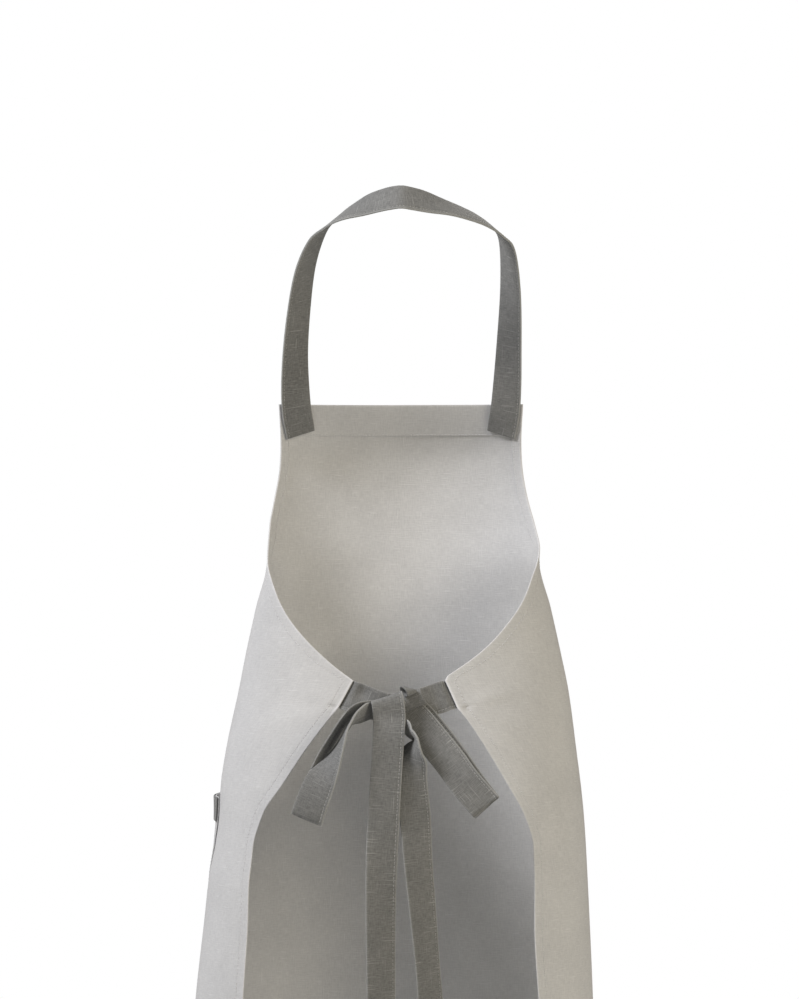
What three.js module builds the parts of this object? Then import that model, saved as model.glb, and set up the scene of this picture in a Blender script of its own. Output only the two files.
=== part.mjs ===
// A cotton bib apron in the form it has when it is worn: a light grey panel that wraps the chest and
// hips, a dark neck strap, two waist ties knotted in a bow behind, and a patch pocket on the left hip.
// Millimetres. The origin is at the nape, on the inner face of the neck strap. +Z is up, +Y is the way
// the wearer faces, and +X is the wearer's right.
import * as THREE from "three";

// Cloth and straps
const CLOTH = 1.2; // wall of the panel and the pocket
const STRAP = 1.8; // wall of a strap, which is folded cloth
const STRAP_WIDTH = 30;
const SEWN_GAP = 0.6; // left between two layers that are sewn together
const SEWN_INSET = CLOTH / 2 + SEWN_GAP + STRAP / 2; // from the panel's middle to a strap's middle
const CURVE_ROOM = 1.8; // a flat strap needs this much more behind the curved bib

// Levels, from the nape
const BIB_TOP = -190;
const TIE_TOP = -450;
const TIE_BOTTOM = -475;
const FOLD_START = -560; // hem folds grow downwards from here
const HEM = -1032;

const AXIS_Y = 60; // the upright axis that the cloth wraps round is this far in front of the nape

const POCKET = {
  top: -564,
  bottom: -744,
  outer: { top: -94, bottom: -72 }, // degrees round from the front
  inner: { top: -22, bottom: -26 },
  gape: 9,
  gapeDepth: 120,
  fill: 1.2,
};
const BAND_HEIGHT = 24;

const NECK_SEWN = { angle: 40, depth: 28 }; // each end of the neck strap, behind the bib's corner
const TIE_SEWN = { turn: 4.8, rise: 6.4, room: 1.4 }; // each tie's end, under the panel's edge

// Distances from the axis to the middle of the cloth at each level
const SECTIONS = [
  { z: BIB_TOP, left: 160, right: 160, front: 80, back: 75 },
  { z: -245, left: 148, right: 148, front: 106, back: 75 },
  { z: -300, left: 138, right: 138, front: 98, back: 75 },
  { z: -340, left: 126.5, right: 131, front: 92, back: 74 },
  { z: -385, left: 137, right: 142, front: 88, back: 71 },
  { z: -425, left: 146, right: 151, front: 87, back: 74 },
  { z: -465, left: 154, right: 159, front: 90, back: 82 },
  { z: -520, left: 165.5, right: 166, front: 98, back: 98 },
  { z: -555, left: 170.4, right: 170.4, front: 103, back: 108.6 },
  { z: -580, left: 171.5, right: 173, front: 106, back: 114 },
  { z: -608, left: 175.2, right: 175.1, front: 109, back: 117.3 },
  { z: -640, left: 181.5, right: 177, front: 111, back: 119 },
  { z: -680, left: 186, right: 179.1, front: 113, back: 118.5 },
  { z: -760, left: 194, right: 183, front: 116, back: 116 },
  { z: -900, left: 202, right: 190, front: 121, back: 112 },
  { z: HEM, left: 206, right: 195, front: 125, back: 110 },
];

// The panel's side edges, in degrees round from the front: the armholes, then the skirt's back edges
const ARMHOLE = [
  { z: BIB_TOP, left: 47.5, right: 47.5 },
  { z: -220, left: 49.5, right: 49.5 },
  { z: -250, left: 53, right: 53 },
  { z: -280, left: 59.5, right: 59.5 },
  { z: -310, left: 70, right: 72 },
  { z: -338, left: 90, right: 97 },
  { z: -354, left: 106, right: 111.6 },
  { z: -368, left: 116.5, right: 120.4 },
  { z: -396, left: 132.5, right: 135.7 },
  { z: -422, left: 147, right: 149.4 },
  { z: -440, left: 157, right: 160.4 },
  { z: -446, left: 160.6, right: 164.1 },
  { z: TIE_TOP, left: 163, right: 164.9 },
];
const SKIRT_EDGE = [
  { z: TIE_BOTTOM, left: 158.2, right: 161.1 },
  { z: -491, left: 153.7, right: 156.7 },
  { z: -519, left: 146.4, right: 150.2 },
  { z: -547, left: 139.4, right: 144.2 },
  { z: -575, left: 131, right: 138.6 },
  { z: -603, left: 127.4, right: 135.5 },
  { z: -631, left: 128, right: 135.3 },
  { z: -687, left: 129.2, right: 136 },
  { z: -743, left: 129.4, right: 135.5 },
  { z: HEM, left: 124, right: 129 },
];

// Soft folds at the hem: where each stands, in degrees, how wide it is, and how far it stands out
const HEM_FOLDS = [
  { at: -104, width: 13, out: 9 },
  { at: -62, width: 15, out: -8 },
  { at: -24, width: 14, out: 10 },
  { at: 18, width: 15, out: -9 },
  { at: 52, width: 13, out: 10 },
  { at: 88, width: 14, out: -8 },
  { at: 116, width: 10, out: 8 },
];

// A strap is a row of stations: its middle, the direction of its width (lean, in degrees up from +X in
// the view from behind, and tip, in degrees towards +Y), and the width where it isn't the full one.
const NAPE = { x: 0, y: 0, z: 0, lean: 90, tip: 41 };
// The neck strap's two sides, from the nape to the bib
const NECK_LEFT = [
  { x: -6, y: 0.6, z: -0.4, lean: 86, tip: 40 },
  { x: -16, y: 5.3, z: -1.9, lean: 82, tip: 39 },
  { x: -32, y: 14, z: -5.9, lean: 79, tip: 43 },
  { x: -48, y: 23.5, z: -11.3, lean: 62, tip: 51 },
  { x: -58, y: 31, z: -15.7, lean: 50, tip: 51 },
  { x: -66, y: 39, z: -21, lean: 42, tip: 49 },
  { x: -79, y: 55, z: -32, lean: 34, tip: 48 },
  { x: -91, y: 78, z: -60, lean: 22, tip: 47 },
  { x: -98, y: 97, z: -100, lean: 13, tip: 43 },
  { x: -102, y: 111, z: -145, lean: 8, tip: 36 },
];
const NECK_RIGHT = [
  { x: 6, y: 0.6, z: -0.5, lean: 94, tip: 40 },
  { x: 23.4, y: 8.9, z: -3.4, lean: 102, tip: 41 },
  { x: 43, y: 19.5, z: -7.7, lean: 115, tip: 50 },
  { x: 63, y: 31.5, z: -13.5, lean: 125, tip: 52 },
  { x: 77, y: 42, z: -18.9, lean: 131, tip: 51 },
  { x: 91, y: 55, z: -27.5, lean: 135, tip: 50 },
  { x: 101, y: 70, z: -40, lean: 140, tip: 51 },
  { x: 105, y: 91, z: -80, lean: 156, tip: 48 },
  { x: 104, y: 108, z: -138, lean: 168, tip: 37 },
];
// The ties, from the panel's edges to behind the knot
const TIE_LEFT = [
  { x: -45.5, y: -18.4, z: -464.4, lean: 64, tip: 9, width: 28.8 },
  { x: -36, y: -19.5, z: -467.5, lean: 68, tip: 10, width: 29 },
  { x: -18, y: -22.4, z: -474, lean: 72, tip: 5, width: 28 },
  { x: 12, y: -23, z: -478, lean: 82, tip: 0, width: 26 },
];
const TIE_RIGHT = [
  { x: 41.2, y: -19.6, z: -463.6, lean: 112, tip: 10, width: 28.6 },
  { x: 33, y: -20, z: -466.5, lean: 108, tip: 12, width: 29 },
  { x: 20, y: -25.2, z: -470, lean: 106, tip: 6, width: 28 },
  { x: -4, y: -26.3, z: -474, lean: 100, tip: 0, width: 26 },
];
// The left loop, out behind and back in front, where it turns over
const LOOP_LEFT = [
  { x: 8, y: -33.6, z: -468.4, lean: -66, tip: 0, width: 9.6 },
  { x: -8, y: -33.6, z: -475, lean: -66, tip: 0, width: 10 },
  { x: -24, y: -34.5, z: -474, lean: -66, tip: 48, width: 22 },
  { x: -38.5, y: -37.6, z: -475.4, lean: -52, tip: 64 },
  { x: -48.2, y: -40, z: -483.5, lean: -36, tip: 66 },
  { x: -60.3, y: -43, z: -502.8, lean: -33, tip: 62 },
  { x: -69, y: -45.5, z: -521.8, lean: -28, tip: 50 },
  { x: -73.5, y: -48.5, z: -538, lean: -25, tip: 34 },
  { x: -80.4, y: -54.5, z: -557, lean: -25, tip: 12 },
  { x: -86.4, y: -63, z: -574, lean: -24, tip: -4 },
  { x: -81, y: -68, z: -557.5, lean: -25, tip: -13 },
  { x: -73.8, y: -68.5, z: -540, lean: -25, tip: -23 },
  { x: -67.3, y: -67, z: -528.6, lean: -25, tip: -46 },
  { x: -60.6, y: -64, z: -516.4, lean: -22, tip: -66 },
  { x: -55, y: -60.5, z: -504.5, lean: -10, tip: -78 },
  { x: -49.8, y: -57.5, z: -492.5, lean: 40, tip: -82 },
  { x: -44.8, y: -54.5, z: -484.5, lean: 65, tip: -66, width: 29 },
  { x: -37, y: -50, z: -479.3, lean: 80, tip: -52, width: 27 },
  { x: -26.5, y: -42.5, z: -476.2, lean: 88, tip: -16, width: 16 },
  { x: -8, y: -38.6, z: -475, lean: 110, tip: 0, width: 10 },
  { x: 8, y: -38.4, z: -468.4, lean: 114, tip: 0, width: 9.6 },
];
const LOOP_RIGHT = [
  { x: 14.3, y: -34.5, z: -479.6, lean: 40, tip: 0, width: 28 },
  { x: 33, y: -38.5, z: -502.5, lean: 40, tip: 0 },
  { x: 47.5, y: -44, z: -521.5, lean: 40, tip: 0 },
  { x: 61, y: -51, z: -541, lean: 39, tip: 0 },
  { x: 78.5, y: -62.5, z: -563.5, lean: 39, tip: 0 },
  { x: 59, y: -59, z: -541.4, lean: 39, tip: 0 },
  { x: 45.3, y: -52, z: -523, lean: 39, tip: 0 },
  { x: 30.6, y: -45, z: -504.7, lean: 39, tip: 0 },
  { x: 12, y: -38.5, z: -481.7, lean: 40, tip: 0, width: 28 },
];
// The hanging ends: the front one folds over at its top, and the back one turns over below the knot
const TAIL_FRONT = [
  { x: -5, y: -46.6, z: -476.5, lean: 34, tip: 0, width: 24 },
  { x: -11.4, y: -47.2, z: -468.6, lean: 28, tip: 0, width: 28 },
  { x: -13.2, y: -50.2, z: -463, lean: 19, tip: 0 },
  { x: -12, y: -52.8, z: -469, lean: 5, tip: 0 },
  { x: -10.8, y: -52.8, z: -482, lean: 0, tip: 0 },
  { x: -11.6, y: -58.5, z: -502, lean: 0, tip: 0, width: 29 },
  { x: -15.1, y: -61.5, z: -557, lean: 0, tip: 2, width: 29 },
  { x: -17.8, y: -66.5, z: -611, lean: 0, tip: 17 },
  { x: -18.7, y: -69.5, z: -666, lean: 0, tip: 26 },
  { x: -18.2, y: -71, z: -737, lean: 0, tip: 31 },
  { x: -17.5, y: -68, z: -810, lean: 0, tip: 26 },
  { x: -17, y: -66, z: -890, lean: 0, tip: 12 },
  { x: -17, y: -65, z: -968, lean: 0, tip: 0 },
];
const TAIL_BACK = [
  { x: -3, y: -45.5, z: -485, lean: 70, tip: -20, width: 10 },
  { x: 3.2, y: -46.8, z: -489.5, lean: 75, tip: -32, width: 16 },
  { x: 10.1, y: -53.5, z: -496.3, lean: 45, tip: -72, width: 22 },
  { x: 13.7, y: -57, z: -502.5, lean: 5, tip: -78, width: 25 },
  { x: 9.5, y: -55.5, z: -519.6, lean: -5, tip: -45 },
  { x: 8.8, y: -53, z: -539.6, lean: 0, tip: -6 },
  { x: 13, y: -53.5, z: -575, lean: 0, tip: 18 },
  { x: 15.4, y: -57, z: -612, lean: 0, tip: 31 },
  { x: 20.5, y: -61, z: -667, lean: 0, tip: 36 },
  { x: 26.5, y: -62, z: -738, lean: 0, tip: 42 },
  { x: 32, y: -61, z: -840, lean: 0, tip: 30 },
  { x: 38, y: -60, z: -990, lean: 0, tip: 12 },
];

// The band that is pulled round the middle of the bow, a squared ring whose axis tilts up to the right
const KNOT = { x: 7.7, y: -36, z: -468.4, width: 28, depth: 13, height: 13.2, tilt: 24, squareness: 0.55 };

const COTTON_LIGHT = { color: 0xc6c7c9, roughness: 0.92, metalness: 0 };
const COTTON_DARK = { color: 0x77787a, roughness: 0.92, metalness: 0 };

// Grid steps of the walls
const PANEL_COLUMNS = 34;
const PANEL_ROWS = { armhole: 13, skirt: 18 };
const POCKET_STEPS = { across: 14, patch: 12, band: 3 };
const STRAP_STEPS = { across: 2, span: 3 };
const KNOT_STEPS = { across: 3, round: 28 };

const { clamp, degToRad, lerp, mapLinear, radToDeg } = THREE.MathUtils;
const fractions = (steps) => Array.from({ length: steps + 1 }, (_, i) => i / steps);

// A smooth curve down a table's column that never overshoots its rows, as a function of z.
function column(table, name) {
  const rows = [...table].sort((a, b) => a.z - b.z);
  const slopes = rows.slice(1).map((row, i) => (row[name] - rows[i][name]) / (row.z - rows[i].z));
  const tangents = rows.map((_, i) => {
    const below = slopes[Math.max(0, i - 1)];
    const above = slopes[Math.min(slopes.length - 1, i)];
    return below * above <= 0 ? 0 : (2 * below * above) / (below + above);
  });
  return (z) => {
    const i = clamp(rows.findLastIndex((row) => row.z <= z), 0, rows.length - 2);
    const span = rows[i + 1].z - rows[i].z;
    const rise = rows[i + 1][name] - rows[i][name];
    const t = clamp((z - rows[i].z) / span, 0, 1);
    const bend = tangents[i] * span * (1 - t) - tangents[i + 1] * span * t + rise * (2 * t - 1);
    return rows[i][name] + rise * t + t * (1 - t) * bend;
  };
}

const reach = {
  left: column(SECTIONS, "left"),
  right: column(SECTIONS, "right"),
  front: column(SECTIONS, "front"),
  back: column(SECTIONS, "back"),
};

// A side edge's angle at any level: the armhole's curve, the straight tie seam, the skirt's curve.
function sideEdge(side) {
  const armhole = column(ARMHOLE, side);
  const skirt = column(SKIRT_EDGE, side);
  return (z) => {
    if (z >= TIE_TOP) return armhole(z);
    if (z <= TIE_BOTTOM) return skirt(z);
    return mapLinear(z, TIE_TOP, TIE_BOTTOM, armhole(TIE_TOP), skirt(TIE_BOTTOM));
  };
}
const edge = { left: sideEdge("left"), right: sideEdge("right") };

// How far the hem's folds push the cloth out: bells round the hem that grow with the depth squared.
function foldOut(angle, z) {
  const growth = clamp((FOLD_START - z) / (FOLD_START - HEM), 0, 1) ** 2;
  const bell = ({ at, width, out }) => out * Math.exp(-(((angle - at) / width) ** 2));
  return growth * HEM_FOLDS.reduce((sum, fold) => sum + bell(fold), 0);
}

// The middle of the panel's cloth, at an angle round from the front and a level.
function clothPoint(angle, z) {
  const sine = Math.sin(degToRad(angle));
  const cosine = Math.cos(degToRad(angle));
  const side = sine < 0 ? reach.left(z) : reach.right(z);
  const depth = cosine > 0 ? reach.front(z) : reach.back(z);
  const out = foldOut(angle, z);
  return new THREE.Vector3((side + out) * sine, AXIS_Y + (depth + out) * cosine, z);
}

// A point off the panel's cloth, outwards along its normal.
function offCloth(angle, z, distance) {
  const nudge = 0.05;
  const round = clothPoint(angle + nudge, z).sub(clothPoint(angle - nudge, z));
  const down = clothPoint(angle, z - nudge).sub(clothPoint(angle, z + nudge));
  return clothPoint(angle, z).addScaledVector(round.cross(down).normalize(), distance);
}

// A closed wall of even thickness about the surface point(u, v), on a grid of the given u and v from 0
// to 1. A ring's last row joins its first.
function wall(point, us, vs, thickness, ring = false) {
  const nudge = 1e-4;
  const inRange = (t) => clamp(t, 0, 1);
  const alongRange = (t) => (ring ? t : inRange(t));
  const normal = (u, v) => {
    const across = point(inRange(u + nudge), v).sub(point(inRange(u - nudge), v));
    const along = point(u, alongRange(v + nudge)).sub(point(u, alongRange(v - nudge)));
    return across.cross(along).normalize();
  };
  const skin = (offset) =>
    vs.flatMap((v) => us.map((u) => point(u, v).addScaledVector(normal(u, v), offset)));
  const vertices = [...skin(thickness / 2), ...skin(-thickness / 2)];
  const outer = (i, j) => i + us.length * (j % vs.length);
  const inner = (i, j) => outer(i, j) + us.length * vs.length;
  const triangles = [];
  const quad = (a, b, c, d) => triangles.push(a, b, c, a, c, d);
  const columns = us.length - 1;
  const rows = ring ? vs.length : vs.length - 1;
  for (let j = 0; j < rows; j++) {
    for (let i = 0; i < columns; i++) {
      quad(outer(i, j), outer(i + 1, j), outer(i + 1, j + 1), outer(i, j + 1));
      quad(inner(i, j), inner(i, j + 1), inner(i + 1, j + 1), inner(i + 1, j));
    }
    quad(outer(0, j), outer(0, j + 1), inner(0, j + 1), inner(0, j));
    quad(outer(columns, j), inner(columns, j), inner(columns, j + 1), outer(columns, j + 1));
  }
  for (let i = 0; i < columns && !ring; i++) {
    quad(outer(i, 0), inner(i, 0), inner(i + 1, 0), outer(i + 1, 0));
    quad(outer(i, rows), outer(i + 1, rows), inner(i + 1, rows), inner(i, rows));
  }
  const geometry = new THREE.BufferGeometry().setFromPoints(vertices);
  geometry.setIndex(triangles);
  geometry.computeVertexNormals();
  return geometry;
}

// A strap's wall: its width swept along a smooth curve through the stations.
function strapWall(stations) {
  const curve = (points) => new THREE.CatmullRomCurve3(points, false, "catmullrom");
  const middle = curve(stations.map(({ x, y, z }) => new THREE.Vector3(x, y, z)));
  const turn = curve(
    stations.map(({ lean, tip, width = STRAP_WIDTH }) => new THREE.Vector3(lean, tip, width)),
  );
  const point = (u, v) => {
    const { x: lean, y: tip, z: width } = turn.getPoint(v);
    const level = Math.cos(degToRad(tip));
    const across = new THREE.Vector3(
      level * Math.cos(degToRad(lean)),
      Math.sin(degToRad(tip)),
      level * Math.sin(degToRad(lean)),
    );
    across.projectOnPlane(middle.getTangent(v)).normalize();
    return middle.getPoint(v).addScaledVector(across, (u - 0.5) * width);
  };
  const spans = stations.length - 1;
  return wall(point, fractions(STRAP_STEPS.across), fractions(spans * STRAP_STEPS.span), STRAP);
}

// A station at a point, with its width along a direction.
function station(point, widthAlong, width = STRAP_WIDTH) {
  const { x, y, z } = widthAlong.clone().normalize();
  const lean = radToDeg(Math.atan2(z, x));
  const tip = radToDeg(Math.asin(y));
  return { x: point.x, y: point.y, z: point.z, lean, tip, width };
}

// The panel, from the bib's top to the hem and from one side edge to the other.
function apronPanel() {
  const levels = [
    ...fractions(PANEL_ROWS.armhole).map((t) => lerp(BIB_TOP, TIE_TOP, t)),
    ...fractions(PANEL_ROWS.skirt).map((t) => lerp(TIE_BOTTOM, HEM, t)),
  ];
  const point = (u, v) => {
    const z = lerp(BIB_TOP, HEM, v);
    return clothPoint(lerp(-edge.left(z), edge.right(z), u), z);
  };
  const vs = levels.map((z) => mapLinear(z, BIB_TOP, HEM, 0, 1));
  return wall(point, fractions(PANEL_COLUMNS), vs, CLOTH);
}

// The pocket's cloth, sewn down at its sides and bottom and gaping at its mouth. beyond is a further
// distance off the panel.
function pocketPoint(u, z, beyond) {
  const depth = mapLinear(z, POCKET.top, POCKET.bottom, 0, 1);
  const outer = lerp(POCKET.outer.top, POCKET.outer.bottom, depth);
  const inner = lerp(POCKET.inner.top, POCKET.inner.bottom, depth);
  const angle = lerp(outer, inner, u);
  const mouth = (1 - clamp((POCKET.top - z) / POCKET.gapeDepth, 0, 1) ** 2) ** 2;
  const middle = (1 - (2 * u - 1) ** 2) ** 1.2;
  const free = (1 - (2 * u - 1) ** 6) * (1 - clamp(depth, 0, 1) ** 6);
  const lift = POCKET.gape * mouth * middle + POCKET.fill * free;
  return offCloth(angle, z, CLOTH + SEWN_GAP + lift + beyond);
}

function hipPocket() {
  const point = (u, v) => pocketPoint(u, lerp(POCKET.top, POCKET.bottom, v), 0);
  return wall(point, fractions(POCKET_STEPS.across), fractions(POCKET_STEPS.patch), CLOTH);
}

// The dark band that is sewn over the pocket's mouth, on the outside.
function pocketBand() {
  const point = (u, v) => pocketPoint(u, POCKET.top - v * BAND_HEIGHT, CLOTH + SEWN_GAP);
  return wall(point, fractions(POCKET_STEPS.across), fractions(POCKET_STEPS.band), CLOTH);
}

// The neck strap, one length from behind one corner of the bib, round the nape, to the other.
function neckStrap() {
  const nudge = 0.5;
  const sewn = (side, z) => {
    const angle = side * NECK_SEWN.angle;
    const inward = clothPoint(angle - side * nudge, z).sub(clothPoint(angle + side * nudge, z));
    return station(offCloth(angle, z, -SEWN_INSET - CURVE_ROOM), inward);
  };
  const half = (side, stations) => [
    ...stations,
    sewn(side, BIB_TOP),
    sewn(side, BIB_TOP - NECK_SEWN.depth),
  ];
  const nape = { ...NAPE, y: NAPE.y - STRAP / 2 };
  return strapWall([...half(-1, NECK_LEFT).reverse(), nape, ...half(1, NECK_RIGHT)]);
}

// A waist tie, from under the panel's edge to behind the knot.
function waistTie(side, stations) {
  const sign = side === "left" ? -1 : 1;
  const [high, low] = [TIE_TOP, TIE_BOTTOM].map((z) => clothPoint(sign * edge[side](z), z));
  const seam = high.clone().sub(low);
  const middleZ = (TIE_TOP + TIE_BOTTOM) / 2;
  const sewn = (turn, rise) => {
    const angle = sign * (edge[side](middleZ) - turn);
    return station(offCloth(angle, middleZ + rise, -SEWN_INSET - TIE_SEWN.room), seam, seam.length());
  };
  return strapWall([sewn(TIE_SEWN.turn, TIE_SEWN.rise), sewn(0, 0), ...stations]);
}

function bowKnot() {
  const power = (value) => Math.sign(value) * Math.abs(value) ** KNOT.squareness;
  const tilt = new THREE.Euler(0, -degToRad(KNOT.tilt), 0);
  const point = (u, v) => {
    const turn = 2 * Math.PI * v;
    const y = (power(Math.cos(turn)) * KNOT.depth) / 2;
    const z = (power(Math.sin(turn)) * KNOT.height) / 2;
    return new THREE.Vector3((u - 0.5) * KNOT.width, y, z).applyEuler(tilt);
  };
  const round = fractions(KNOT_STEPS.round).slice(0, -1);
  return wall(point, fractions(KNOT_STEPS.across), round, STRAP, true);
}

const apron = new THREE.Group();

function addPiece(name, geometry, finish) {
  const piece = new THREE.Mesh(geometry, new THREE.MeshStandardMaterial(finish));
  piece.name = name;
  apron.add(piece);
  return piece;
}

addPiece("apron_panel", apronPanel(), COTTON_LIGHT);
addPiece("hip_pocket", hipPocket(), COTTON_LIGHT);
addPiece("pocket_band", pocketBand(), COTTON_DARK);
addPiece("neck_strap", neckStrap(), COTTON_DARK);
addPiece("waist_tie_left", waistTie("left", TIE_LEFT), COTTON_DARK);
addPiece("waist_tie_right", waistTie("right", TIE_RIGHT), COTTON_DARK);
addPiece("bow_loop_left", strapWall(LOOP_LEFT), COTTON_DARK);
addPiece("bow_loop_right", strapWall(LOOP_RIGHT), COTTON_DARK);
addPiece("tie_tail_front", strapWall(TAIL_FRONT), COTTON_DARK);
addPiece("tie_tail_back", strapWall(TAIL_BACK), COTTON_DARK);
addPiece("bow_knot", bowKnot(), COTTON_DARK).position.set(KNOT.x, KNOT.y, KNOT.z);

export default apron;
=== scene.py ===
import math
import bpy
import numpy as np
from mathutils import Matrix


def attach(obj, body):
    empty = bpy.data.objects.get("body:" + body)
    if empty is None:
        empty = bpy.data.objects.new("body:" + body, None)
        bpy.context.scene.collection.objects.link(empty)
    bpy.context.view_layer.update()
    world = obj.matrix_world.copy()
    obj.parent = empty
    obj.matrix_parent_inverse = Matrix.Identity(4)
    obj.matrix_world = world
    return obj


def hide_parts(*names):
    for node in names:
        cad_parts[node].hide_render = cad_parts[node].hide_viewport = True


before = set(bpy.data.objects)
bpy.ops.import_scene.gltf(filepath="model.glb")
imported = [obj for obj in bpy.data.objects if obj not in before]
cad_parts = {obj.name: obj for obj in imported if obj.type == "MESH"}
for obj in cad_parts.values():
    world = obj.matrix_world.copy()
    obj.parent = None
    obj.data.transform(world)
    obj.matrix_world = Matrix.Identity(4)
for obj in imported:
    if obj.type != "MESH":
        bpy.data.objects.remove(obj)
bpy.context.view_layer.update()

# A light grey cotton bib apron with dark tape straps, in the form it has when worn and seen from behind.
# Sizes in the tables are millimetres in the frame's axes and become metres when a mesh is made.
mm = 0.001
print("frame loaded, nodes:", len(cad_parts))


# Camera: the view from behind, level, with the frame of the 799 x 999 picture
cameraSettings = {"place": (-0.0014, -3.14, -0.282), "lens": 121.38, "sensor": 36.0}
cameraData = bpy.data.cameras.new("backView")
cameraData.sensor_fit = "VERTICAL"
cameraData.sensor_height = cameraSettings["sensor"]
cameraData.lens = cameraSettings["lens"]
camera = bpy.data.objects.new("backView", cameraData)
camera.location = cameraSettings["place"]
camera.rotation_euler = (math.pi / 2, 0, 0)
bpy.context.collection.objects.link(camera)
bpy.context.scene.camera = camera


# sRGB hex to linear: the two-part sRGB curve, channel by channel
def linear(hexCode):
    channels = np.array([int(hexCode[i:i + 2], 16) for i in (1, 3, 5)]) / 255
    bright = ((channels + 0.055) / 1.055) ** 2.4
    return (*np.where(channels > 0.04045, bright, channels / 12.92), 1.0)


# One node with its settings; an input is a plain value or another node's output
def addNode(tree, kind, inputs, **settings):
    node = tree.nodes.new(kind)
    for name, value in settings.items():
        setattr(node, name, value)
    for name, value in inputs.items():
        if isinstance(value, bpy.types.NodeSocket):
            tree.links.new(value, node.inputs[name])
        else:
            node.inputs[name].default_value = value
    return node


# A material with no nodes yet
def emptyMaterial(name):
    material = bpy.data.materials.new(name)
    material.use_nodes = True
    material.node_tree.nodes.clear()
    return material, material.node_tree


# The first colour with a share of the second mixed in
def mixColours(tree, share, first, second):
    return addNode(tree, "ShaderNodeMix", {0: share, 6: first, 7: second}, data_type="RGBA").outputs[2]


# Noise levels, heights and surface that both weaves share
cotton = {"noiseLow": 0.25, "noiseHigh": 0.75, "cloudLow": 0.3, "cloudHigh": 0.7, "noiseRoughness": 0.6,
          "slubUp": (0.82, 0.90), "slubAcross": (0.77, 0.86),  # where a slub begins and where it is full
          "threadHeight": 0.5, "fullHeight": 1.6, "smooth": 0.86, "rough": 0.97,
          "ior": 1.5, "specular": 0.25, "sheenRoughness": 0.6}


# Woven cotton: warp and weft are noise drawn out along each thread, so single threads differ in tone,
# and slubs are the rare pale, thick threads where a longer noise passes a threshold.
# The eye gets a matt, slightly dusty cloth with a faint grid of lighter and darker threads, and a painted
# highlight along the edges.
# Real threads are about 0.4 mm apart; they are drawn coarser so that they show in the render.
def wovenCotton(name, weave):
    material, tree = emptyMaterial(name)
    uv = addNode(tree, "ShaderNodeUVMap", {}, uv_map="cloth").outputs[0]

    # noise drawn out to a streak's width and length in mm
    def streaks(width, length, acrossCloth, detail):
        alongU, alongV = (length, width) if acrossCloth else (width, length)
        scale = (1 / (alongU * mm), 1 / (alongV * mm), 0)
        placed = addNode(tree, "ShaderNodeVectorMath", {0: uv, 1: scale}, operation="MULTIPLY").outputs[0]
        inputs = {"Vector": placed, "Scale": 1.0, "Detail": detail, "Roughness": cotton["noiseRoughness"]}
        return addNode(tree, "ShaderNodeTexNoise", inputs, noise_dimensions="2D").outputs[0]

    # low to high laid straight on least to most, and held at both ends
    def remap(value, low, high, least, most):
        inputs = {0: value, 1: low, 2: high, 3: least, 4: most}
        return addNode(tree, "ShaderNodeMapRange", inputs).outputs[0]

    def thread(value, least, most):
        return remap(value, cotton["noiseLow"], cotton["noiseHigh"], least, most)

    def combine(kind, a, b):
        return addNode(tree, "ShaderNodeMath", {0: a, 1: b}, operation=kind).outputs[0]

    warp = streaks(weave["thread"], weave["run"], False, 1.0)
    weft = streaks(weave["thread"], weave["run"], True, 1.0)
    slubUp = remap(streaks(weave["slub"], weave["slubRun"], False, 0.0), *cotton["slubUp"], 0.0, 1.0)
    slubAcross = remap(streaks(weave["slub"], weave["slubRun"], True, 0.0), *cotton["slubAcross"], 0.0, 1.0)
    cloudy = streaks(weave["cloud"], weave["cloud"], False, 2.0)

    tone = combine("ADD", thread(warp, -weave["warpTone"], weave["warpTone"]),
                   thread(weft, -weave["weftTone"], weave["weftTone"]))
    clouds = remap(cloudy, cotton["cloudLow"], cotton["cloudHigh"], -weave["cloudTone"], weave["cloudTone"])
    tone = combine("ADD", combine("ADD", tone, clouds), 0.5)  # half way from deep to pale on average
    colour = mixColours(tree, tone, linear(weave["deep"]), linear(weave["pale"]))
    slubs = combine("MAXIMUM", slubUp, slubAcross)
    slubShare = remap(slubs, 0.0, 1.0, 0.0, weave["slubShare"])
    colour = mixColours(tree, slubShare, colour, linear(weave["slubPale"]))
    # Painted highlight: a paler colour mixed in where the rim attribute marks an edge, standing in for light
    # caught by the rounded edge
    rimHighlight = addNode(tree, "ShaderNodeAttribute", {}, attribute_name="rimHighlight").outputs["Fac"]
    rimHighlightShare = remap(rimHighlight, 0.0, 1.0, 0.0, weave["rimHighlightShare"])
    colour = mixColours(tree, rimHighlightShare, colour, linear(weave["rimHighlight"]))

    threads = combine("ADD", thread(warp, 0.0, cotton["threadHeight"]),
                      thread(weft, 0.0, cotton["threadHeight"]))
    height = combine("ADD", threads, combine("ADD", slubUp, slubAcross))
    relief = addNode(tree, "ShaderNodeBump", {"Height": height, "Strength": weave["relief"],
                                              "Distance": weave["reliefHeight"] * mm}).outputs[0]
    rough = remap(height, 0.0, cotton["fullHeight"], cotton["smooth"], cotton["rough"])
    shader = addNode(tree, "ShaderNodeBsdfPrincipled",
                     {"Base Color": colour, "Roughness": rough, "Normal": relief, "IOR": cotton["ior"],
                      "Specular IOR Level": cotton["specular"], "Sheen Weight": weave["sheen"],
                      "Sheen Roughness": cotton["sheenRoughness"]})
    addNode(tree, "ShaderNodeOutputMaterial", {"Surface": shader.outputs[0]})
    return material


spun = {"pitch": 2.4, "wander": 1.0, "roughness": 0.75, "ior": 1.5, "sheen": 0.2}


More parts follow.
